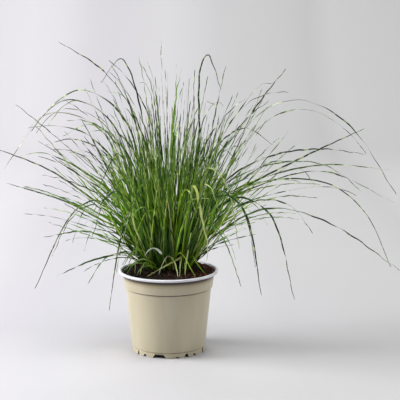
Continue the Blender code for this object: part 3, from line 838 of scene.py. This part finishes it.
def fanPath(base, azimuth, draw):
    # A leaf that starts nearly upright, bends out near its foot and then runs on almost straight
    fan = grass["fan"]
    out = headingOf(azimuth + draw.gauss(0, fan["turn"]))
    foot = fan["foot"] * base.xy.length / crown["radius"] + draw.gauss(0, fan["spread"])
    tip = foot + draw.uniform(*fan["bend"])
    length = draw.uniform(*fan["length"]) * (1 - fan["flatShorter"] * max(0, tip) / 90)
    step = crown["pathSpacing"]
    count = round(length * mm / step)
    point = strayFoot(base, draw)
    made = [point.copy()]
    for k in range(count):
        share = k / count
        lean = radians(foot + (tip - foot) * (0.55 * min(1, share / 0.3) + 0.45 * share))
        point = point + (out * sin(lean) + Vector((0, 0, cos(lean)))) * step
        made.append(point)
    return insidePart(made)


def outerTone(tone, tip):
    # The outer leaves that end low are darker
    out, height, darker = grass["outer"]
    return tone * darker if abs(tip.x) > out * mm and tip.z < height * mm else tone


def waveAlong(share, waves, draw):
    # So many waves along the leaf, which start anywhere
    return np.sin(fullTurn * (share * draw.uniform(*waves) + draw.random())) * share


def leafRings(path, width, kind, heading, draw, late=0):
    # Four corners round the leaf at each ring, two edges, the fold and the rib under it, to a closed tip
    points = np.array([tuple(point) for point in path])
    far = np.concatenate([[0], np.cumsum(np.linalg.norm(np.diff(points, axis=0), axis=1))])
    length = far[-1]
    rings = max(12, round(length / (grass["ringStep"] * mm)))
    share = np.arange(rings + 1) / rings
    middle = np.column_stack([np.interp(share * length, far, points[:, k]) for k in range(3)])
    along = np.gradient(middle, axis=0)
    along /= np.linalg.norm(along, axis=1)[:, None]
    across = np.array(headingOf(heading))
    side = across - along * (along @ across)[:, None]
    side /= np.linalg.norm(side, axis=1)[:, None]
    up = np.cross(along, side)
    sway = grass["wander"] * mm * waveAlong(share, grass["wanderWaves"], draw)
    kink = grass["kinks"] * mm * waveAlong(share, grass["kinkWaves"], draw)
    # A leaf shorter than 150 mm wanders less
    middle = middle + side * (sway * min(1, length / 0.15))[:, None]
    middle = middle + (side * draw.uniform(-1, 1) + up * draw.uniform(-1, 1)) * kink[:, None]
    turns = draw.uniform(0.4, 1) * draw.choice((-1, 1)) * kind["twist"]
    twist = turns * np.maximum(0, share - 0.15) ** 1.3 + draw.uniform(-1, 1) * kind["loose"] + kind["face"]
    twist += kind["wave"] * waveAlong(share, grass["twistWaves"], draw)
    turned = side * np.cos(twist)[:, None] + up * np.sin(twist)[:, None]
    up = up * np.cos(twist)[:, None] - side * np.sin(twist)[:, None]
    foot = grass["footWidth"]
    wide = width * mm * (foot + (1 - foot) * np.minimum(1, share / grass["widestShare"]))
    wide *= (1 - share ** kind["taper"]) ** 0.8 * np.where(share < late, grass["slim"], 1)
    half = np.maximum(wide, grass["tipWidth"] * mm)[:, None] / 2
    thick = (grass["thick"] * mm * (1 - 0.5 * share))[:, None] / 2
    rise = up * half * (grass["fold"] * np.maximum(0.1, 1 - 1.1 * share))[:, None]
    corners = np.stack([middle + turned * half + rise, middle + up * thick,
                        middle - turned * half + rise, middle - up * thick], axis=1)
    verts = np.vstack([corners[:-1].reshape(-1, 3), middle[-1:]])
    # Each corner's place on the leaf: aside and along, in mm, and the share of its length
    place = np.zeros((len(verts), 3))
    for corner, sign in enumerate((1, 0, -1, 0)):
        place[corner:-1:4, 0] = sign * half[:-1, 0] / mm
    place[:-1, 2] = np.repeat(share[:-1], 4)
    place[-1, 2] = 1
    place[:, 1] = place[:, 2] * length / mm
    return verts, place


def leafFaces(rings):
    # The faces of a leaf of so many rings, root first
    sides = ((0, 1), (1, 2), (2, 3), (3, 0))
    last = 4 * (rings - 1)
    faces = [(3, 2, 1, 0)]
    for first in range(0, last, 4):
        faces += [(first + a, first + b, first + 4 + b, first + 4 + a) for a, b in sides]
    return faces + [(last + a, last + b, last + 4) for a, b in sides]


def grassLeaf():
    # Fresh grass leaf: ribbed and softly glossy, one green for each leaf, with patches of painted shade and
    # painted glints toward its tip
    soft = {"Roughness": 0.36, "IOR": 1.42, "Specular IOR Level": 0.44}
    made, tree, shader = newMaterial("fresh grass leaf", soft)
    place = addNode(tree, "Attribute", attribute_name="place")["Vector"]
    nature = addNode(tree, "Attribute", attribute_name="nature")["Vector"]
    _, length, share = addNode(tree, "SeparateXYZ", {0: place})
    tone, paintedShadeAndGlint, bleachAndHighlight = addNode(tree, "SeparateXYZ", {0: nature})
    # Veins lie side by side along the leaf, drawn coarser than real ones so that they show
    lines = {0: place, "Scale": 0.314 / grass["veinSpacing"], "Distortion": 0.6, "Detail Scale": 0.3}
    veins = addNode(tree, "TexWave", lines)["Fac"]
    streaks = addNode(tree, "Mapping", {0: place, "Scale": (1.2, 0.02, 0)})[0]
    streaks = addNode(tree, "TexNoise", {0: streaks, "Scale": 1, "Detail": 3})["Fac"]
    light = addNode(tree, "MapRange", {"Value": streaks, "To Min": 0.82, "To Max": 1.18})[0]
    ribs = addNode(tree, "MapRange", {"Value": veins, "To Min": 0.9, "To Max": 1.06})[0]
    bright = addNode(tree, "Math", {0: light, 1: ribs}, operation="MULTIPLY")[0]
    green = addNode(tree, "ValToRGB", {0: tone}, grass["tones"])[0]
    colour = addNode(tree, "VectorMath", {0: green, "Scale": bright}, operation="SCALE")[0]
    # Leaves of another tone have other patches
    aside = addNode(tree, "Math", {0: tone, 1: 60}, operation="MULTIPLY")[0]
    along = addNode(tree, "Math", {0: length, 1: 1 / grass["patch"]}, operation="MULTIPLY")[0]
    spot = addNode(tree, "CombineXYZ", {"X": aside, "Y": along})[0]
    paintedGlintAndShade = addNode(tree, "TexNoise", {0: spot, "Scale": 1, "Detail": 2})["Fac"]
    # Its dark patches are painted shade and its pale ones painted glints
    tip = addNode(tree, "ValToRGB", {0: paintedGlintAndShade}, grass["tip"])[0]
    # Over the green lie painted shade and glints in patches toward the tip, painted shade at the foot, and
    # the pale end, partly bleach and partly a painted highlight
    for value, ends, amount, over in (
        (length, "glintAndShadeFrom", paintedShadeAndGlint, tip),
        (length, "paintedFootShadeEnd", paintedShadeAndGlint, hexColour(grass["root"])),
        (share, "bleachFrom", bleachAndHighlight, hexColour(grass["bleachAndHighlight"])),
    ):
        part = addNode(tree, "MapRange", {"Value": value, **grass[ends]})[0]
        part = addNode(tree, "Math", {0: part, 1: amount}, operation="MULTIPLY")[0]
        colour = addNode(tree, "Mix", {0: part, 6: colour, 7: over}, data_type="RGBA")[2]
    relief = addNode(tree, "Bump", {"Height": veins, "Strength": 0.4, "Distance": 0.03 * mm})[0]
    setSockets(tree, shader, {"Base Color": colour, "Normal": relief})
    return made


def nearestShoot(shoots, point):
    distances = [(paths[0][0].xy - point.xy).length for _, paths in shoots]
    return distances.index(min(distances))


def makeTuft(number, leaves, look):
    # One piece for each packed tuft: all its fine leaves as one mesh
    verts, places, natures = zip(*leaves)
    natures = [np.tile(nature, (len(ring), 1)) for ring, nature in zip(verts, natures)]
    faces = []
    count = 0
    for ring in verts:
        faces += [tuple(count + corner for corner in face) for face in leafFaces(len(ring) // 4)]
        count += len(ring)
    name = f"grass_tuft_{number + 1:02d}"
    mesh = bpy.data.meshes.new(name)
    mesh.from_pydata(np.vstack(verts).tolist(), [], faces)
    for key, values in (("place", places), ("nature", natures)):
        held = mesh.attributes.new(key, "FLOAT_VECTOR", "POINT")
        held.data.foreach_set("vector", np.vstack(values).astype(np.float32).ravel())
    mesh.materials.append(look)
    mesh.shade_smooth()
    mesh.set_sharp_from_angle(angle=radians(28))
    piece = addObject(name, mesh)
    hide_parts(f"tuft_{number + 1:02d}")
    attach(piece, "root")
    return len(mesh.polygons)


def toneNear(own, spread, draw):
    return min(0.8, max(0, own + draw.gauss(0, spread)))


def ownLeaf(rank, azimuth, path, own, draw):
    # One of a shoot's own three leaves
    kind = {**grass["ownPlain"], **grass["own"][rank]}
    tone = min(0.7, max(0, own + draw.gauss(-0.1, 0.2)))
    paintedShadeAndGlint = draw.uniform(0.6, 1)
    late, heading = 0, azimuth + 90
    if rank == 0 and azimuth in grass["stoutLeaves"]:
        tone, paintedShadeAndGlint, late, width = grass["stoutLeaves"][azimuth]
        kind = {**grass["stout"], "width": width}
        heading = 90
    nature = (outerTone(tone, path[-1]), paintedShadeAndGlint, 0)
    return *leafRings(path, kind["width"], kind, heading, draw, late), nature


def kinLeaf(line, kind, azimuth, own, draw):
    # A neighbour of one of them, now and then lime or straw
    tone = toneNear(own, 0.3, draw)
    chance = draw.random()
    if chance < grass["strawShare"]:
        tone = 1
    elif chance < grass["strawShare"] + grass["limeShare"]:
        tone = draw.uniform(*grass["limeTones"])
    width = kind["width"] * draw.uniform(0.75, 1.15)
    heading = azimuth + 90 + draw.uniform(-25, 25)
    tone = outerTone(tone, line[-1])
    return *leafRings(line, width, kind, heading, draw), (tone, draw.uniform(0.6, 1), 0)


def fanLeaf(base, azimuth, own, draw):
    kind = {**grass["plain"], **grass["fan"]}
    tone = toneNear(own, 0.26, draw)
    heading = azimuth + 90 + draw.uniform(-40, 40)
    line = fanPath(base, azimuth, draw)
    width = kind["width"] * draw.uniform(0.75, 1.15)
    tone = outerTone(tone, line[-1])
    return *leafRings(line, width, kind, heading, draw), (tone, draw.uniform(0.7, 1), 0)


def moreLeaf(path, azimuth, draw):
    kind = grass["more"]
    line = kinPath(path, kind, draw)
    heading = azimuth + 90 + draw.uniform(-20, 20)
    width = kind["width"] * draw.uniform(0.8, 1.1)
    leaf = leafRings(line, width, kind, heading, draw)
    return *leaf, (outerTone(draw.uniform(0, 0.5), line[-1]), draw.uniform(0.8, 1), 0)


def singleLeaf(tone, bleachAndHighlight, width, late, points, draw):
    kind = dict(grass["single"])
    if bleachAndHighlight == 1:
        kind["face"] = grass["bleachedFace"]
    nature = (tone, 0.3 if tone > 0.3 else 0.9, bleachAndHighlight)
    return *leafRings(leafPath(points[0], points[1:]), width, kind, 90, draw, late), nature


def makeGrass():
    draw = random.Random(grass["seed"])
    look = grassLeaf()
    shoots = growShoots()
    tufts = []
    for azimuth, paths in shoots:
        own = draw.uniform(*grass["shootTones"])
        leaves = []
        for rank, path in enumerate(paths):
            kind = {**grass["plain"], **grass["kinds"][rank]}
            leaves.append(ownLeaf(rank, azimuth, path, own, draw))
            isLow = rank == 0 and path[-1].z < grass["lowBelow"] * mm
            count = grass["lowKin"] if isLow else kind["kin"]
            lines = [kinPath(path, kind, draw) for _ in range(count)]
            leaves += [kinLeaf(line, kind, azimuth, own, draw) for line in lines]
        leaves += [fanLeaf(paths[0][0], azimuth, own, draw) for _ in range(grass["fan"]["kin"])]
        tufts.append(leaves)
    more = grass["more"]
    low, high = more["headings"]
    for number, (azimuth, paths) in enumerate(shoots):
        if low < azimuth < high and paths[0][-1].z > more["above"] * mm:
            spare = random.Random(grass["seed"] + number)
            tufts[number] += [moreLeaf(paths[0], azimuth, spare) for _ in range(more["kin"])]
    for tone, bleachAndHighlight, width, late, *points in grass["accents"]:
        points = [Vector(point) * mm for point in points]
        leaf = singleLeaf(tone, bleachAndHighlight, width, late, points, draw)
        tufts[nearestShoot(shoots, points[0])].append(leaf)
    total = sum(makeTuft(number, leaves, look) for number, leaves in enumerate(tufts))
    print("grass", sum(len(leaves) for leaves in tufts), "leaves,", total, "faces")


# The stage: a pale floor that sweeps up into a backdrop, soft lights, and the camera

stage = {
    "width": 8,
    "front": -4,
    "back": 2,
    "bend": 0.8,
    "bendSteps": 16,
    "height": 3,
    # Painted light that falls off from left to right over the paper, and painted shade that darkens it a
    # little behind the pot
    "paintedFalloffFrom": {"From Min": -0.45, "From Max": 0.55},
    "paintedFalloff": [(0, "C7C5C9"), (0.1, "C3C1C5"), (0.2, "BAB8BC"), (0.28, "B7B6BA"), (0.36, "B8B7B9"),
             (0.45, "B9B8BA"), (0.55, "B4B4B5"), (0.62, "AFAFB0"), (0.72, "AEAEAE"), (0.85, "ACACAC"),
             (0.92, "A9A9A9"), (1, "B1B1B1")],
    "shadeFrom": {"From Min": -0.2, "From Max": 1.3},
    "shade": [(0, "FAFAFA"), (0.1, "FEFEFE"), (0.14, "F8F8F8"), (0.2, "F0F0F1"), (0.3, "F3F3F4"),
              (0.5, "F9F9F9"), (0.9, "FFFFFF")],
    "air": "FAFAFF",
    "airStrength": 0.04,
    "cameraBack": 1.6,
    "cameraHeight": 0.4705,
    "pitch": 9.653,
    "yaw": 1.473,
    "focalPixels": 1254.05,
    "imagePixels": 400,
    "lights": [
        # Name, place, aim, size and watts
        ("left_softbox", (-1.45, 0.02, 0.85), (0, 0, 0.15), 0.9, 39),
        ("top_softbox", (0.05, -0.36, 2), (0, 0, 0), 0.9, 32.5),
        ("right_softbox", (1.5, 0.3, 0.9), (0, 0, 0.15), 0.8, 11.5),
        ("backdrop_light", (-0.1, 1.6, 2.1), (0, 2.8, 0.2), 1.4, 44),
    ],
}


def makeStage():
    deselectAll()
    bpy.ops.mesh.primitive_plane_add(size=1, location=(0, 0, 0))
    floor = bpy.context.object
    floor.name = "pale_sweep"
    for vert in floor.data.vertices:
        vert.co.x *= stage["width"]
        vert.co.y = stage["front"] if vert.co.y < 0 else stage["back"]
        vert.select = vert.co.y > 0
    setMode("EDIT")
    bpy.ops.mesh.select_mode(type="EDGE")
    bend, steps = stage["bend"], stage["bendSteps"]
    for k in range(steps):
        low, high = pi / 2 * k / steps, pi / 2 * (k + 1) / steps
        move = (0, bend * (sin(high) - sin(low)), bend * (cos(low) - cos(high)))
        bpy.ops.mesh.extrude_region_move(TRANSFORM_OT_translate={"value": move})
    bpy.ops.mesh.extrude_region_move(TRANSFORM_OT_translate={"value": (0, 0, stage["height"])})
    setMode("OBJECT")
    floor.data.shade_smooth()
    matt = {"Roughness": 0.9, "IOR": 1.4, "Specular IOR Level": 0.1}
    made, tree, shader = newMaterial("matt paper backdrop with painted light and shade", matt)
    parts = addNode(tree, "SeparateXYZ", {0: addNode(tree, "TexCoord")["Object"]})
    tones = []
    # Painted light falling off from left to right, multiplied by painted shade along the floor
    for axis, name in (("X", "paintedFalloff"), ("Y", "shade")):
        share = addNode(tree, "MapRange", {"Value": parts[axis], **stage[name + "From"]})[0]
        tones.append(addNode(tree, "ValToRGB", {0: share}, stage[name])[0])
    colours = {0: 1, 6: tones[0], 7: tones[1]}
    paper = addNode(tree, "Mix", colours, data_type="RGBA", blend_type="MULTIPLY")[2]
    setSockets(tree, shader, {"Base Color": paper})
    floor.data.materials.append(made)


def makeLights():
    for name, place, aim, size, watts in stage["lights"]:
        light = bpy.data.lights.new(name, "AREA")
        light.shape = "SQUARE"
        light.size = size
        light.energy = watts
        lamp = addObject(name, light)
        lamp.location = place
        lamp.rotation_euler = (Vector(aim) - Vector(place)).to_track_quat("-Z", "Y").to_euler()
    world = bpy.data.worlds.new("studio air")
    world.use_nodes = True
    background = world.node_tree.nodes["Background"]
    air = {"Color": hexColour(stage["air"]), "Strength": stage["airStrength"]}
    setSockets(world.node_tree, background, air)
    bpy.context.scene.world = world


def makeCamera():
    data = bpy.data.cameras.new("camera")
    data.sensor_width = 36
    data.lens = stage["focalPixels"] / stage["imagePixels"] * data.sensor_width
    camera = addObject("camera", data)
    camera.location = (0, -stage["cameraBack"], stage["cameraHeight"])
    camera.rotation_euler = (radians(90 - stage["pitch"]), 0, radians(-stage["yaw"]))
    scene = bpy.context.scene
    scene.camera = camera
    scene.view_settings.view_transform = "Standard"
    scene.view_settings.look = "None"


makePot()
makeSoil()
makeGrass()
makeStage()
makeLights()
makeCamera()
